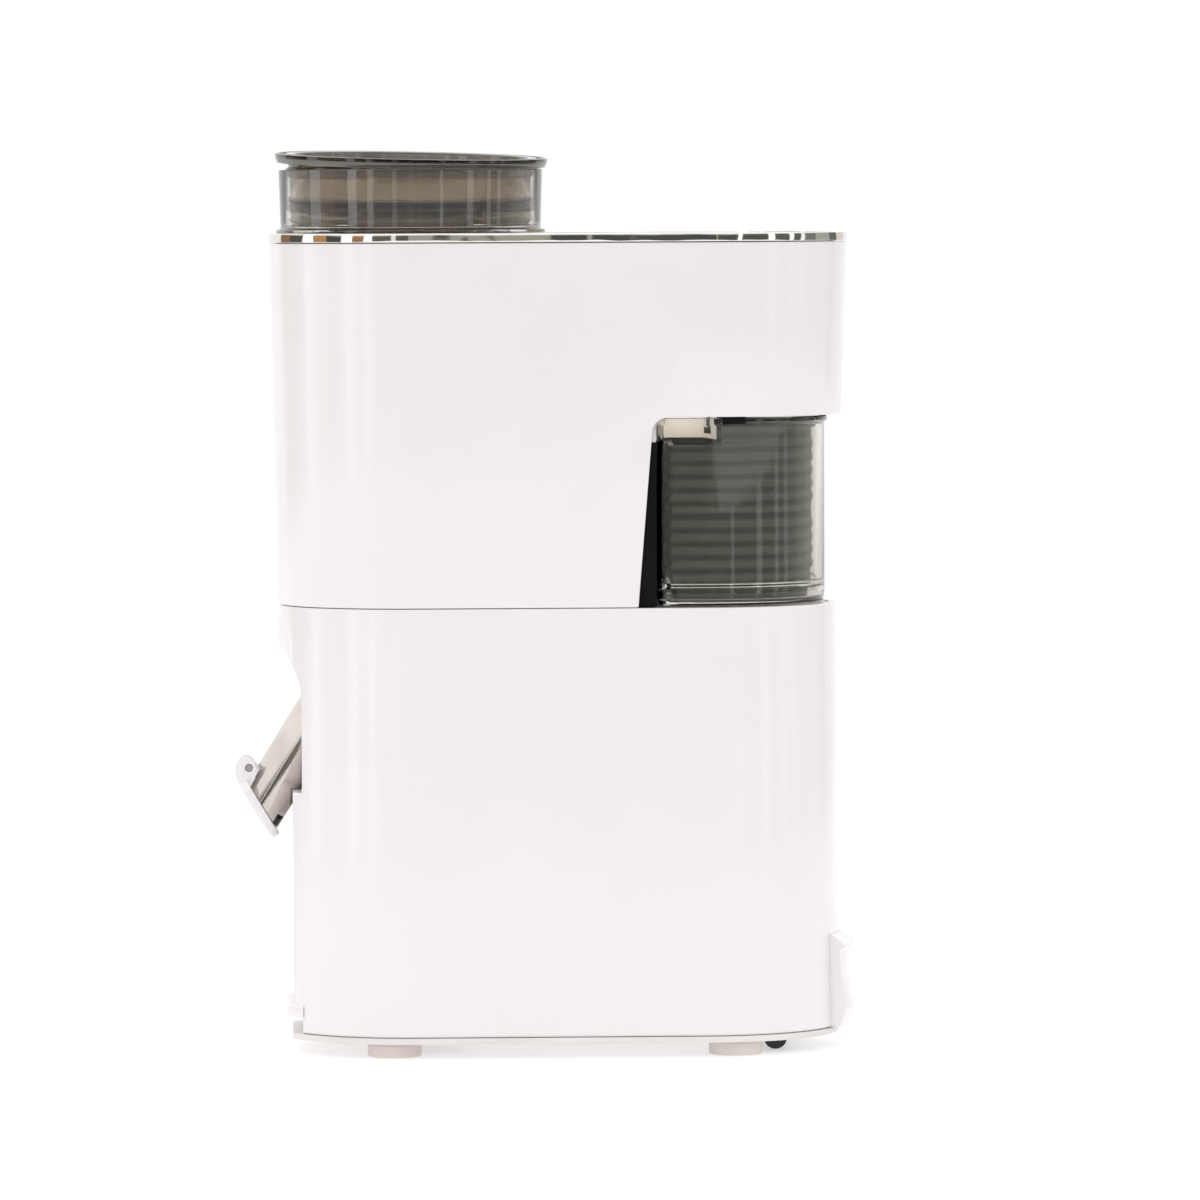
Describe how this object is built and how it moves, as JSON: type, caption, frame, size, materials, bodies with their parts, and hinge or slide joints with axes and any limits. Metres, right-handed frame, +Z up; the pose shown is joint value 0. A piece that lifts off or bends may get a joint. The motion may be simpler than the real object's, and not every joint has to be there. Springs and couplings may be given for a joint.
{
  "type": "centrifugal juicer",
  "caption": "Upright centrifugal juicer with a top hopper and pusher, front spout with a swinging flap, and a clear pulp container set into the rear.",
  "frame": {"origin": "centre of the object's footprint box at table level, taken without the mains cord", "axes": "+Z up; the spout is at the -X end and the pulp container at the +X end; +Y is the object's left side, away from the side with the clearer view of the pulp container"},
  "size_m": [0.2791, 0.2253, 0.4012],
  "materials": {
    "white_gloss": "smooth injection-moulded, glossy",
    "foot_plastic": "soft warm off-white",
    "chrome_trim": "mirror-bright plated",
    "clear_plastic": "clear moulded plastic, polished",
    "smoke_plastic": "smoke-tinted moulded plastic, polished",
    "dark_bin": "dark smoky, ribbed",
    "dark_plastic": "fine-textured",
    "steel": "polished stainless",
    "laminate": "stacked laminations",
    "copper": "enamelled windings and segments",
    "rubber": "matt",
    "board": "lacquered board",
    "brass": "bright",
    "grey_plastic": "fine-textured"
  },
  "bodies": {
    "base": {"lower_housing": "white_gloss", "front_panel": "white_gloss", "deck": "white_gloss", "bottom_cover": "white_gloss", "feet": "foot_plastic", "cord_wrap": "white_gloss", "base_screws": "steel", "motor_stator": "laminate", "field_coils": "copper", "lower_bracket": "steel", "upper_bracket": "steel", "bracket_posts": "steel", "motor_mounts": "rubber", "lower_bearing": "steel", "upper_bearing": "steel", "carbon_brushes": "dark_plastic", "control_board": "board", "suppression_capacitor": "grey_plastic", "switch_body": "dark_plastic", "rocker_pin": "steel", "juice_bowl": "steel", "shaft_seal": "rubber", "juice_elbow": "white_gloss", "spout_tube": "steel", "flap_bracket": "white_gloss", "flap_pin": "steel", "upper_housing": "white_gloss", "niche_liner": "dark_plastic", "reed_switch": "dark_plastic", "cord_gland": "rubber", "mains_cord": "rubber", "mains_coil": "rubber", "cord_tail": "rubber", "coil_tie": "grey_plastic", "mains_plug": "rubber", "plug_prongs": "brass"},
    "rotor": {"motor_shaft": "steel", "armature": "laminate", "commutator": "copper", "cooling_fan": "dark_plastic", "drive_coupling": "dark_plastic", "filter_basket": "steel", "basket_rim": "white_gloss", "grater_disc": "steel"},
    "lid": {"lid_plate": "white_gloss", "lid_trim": "chrome_trim", "hopper": "clear_plastic", "pulp_hood": "white_gloss", "cover_gasket": "rubber", "lid_magnet": "steel"},
    "pusher": {"pusher_cup": "smoke_plastic", "pusher_plunger": "smoke_plastic", "pusher_ring": "rubber"},
    "flap": {"spout_flap": "white_gloss"},
    "container": {"pulp_jar": "clear_plastic", "pulp_bin": "dark_bin"},
    "rocker": {"power_rocker": "grey_plastic"}
  },
  "joints": [
    {"name": "lid_lift", "type": "slide", "parent": "base", "child": "lid", "axis": [0, 0, 1], "range_m": [0, 0.16]},
    {"name": "pusher_slide", "type": "slide", "parent": "lid", "child": "pusher", "axis": [0, 0, 1], "range_m": [0, 0.1]},
    {"name": "drive_spin", "type": "hinge", "parent": "base", "child": "rotor", "pos_m": [-0.06, 0, 0], "axis": [0, 0, 1], "continuous": true},
    {"name": "flap_hinge", "type": "hinge", "parent": "base", "child": "flap", "pos_m": [-0.13396, 0, 0.12695], "axis": [0, 1, 0], "range_deg": [0, 100]},
    {"name": "container_slide", "type": "slide", "parent": "base", "child": "container", "axis": [1, 0, 0], "range_m": [0, 0.14]},
    {"name": "rocker_tilt", "type": "hinge", "parent": "base", "child": "rocker", "pos_m": [-0.1124, 0, 0.092], "axis": [0, 1, 0], "range_deg": [-6, 6]}
  ]
}
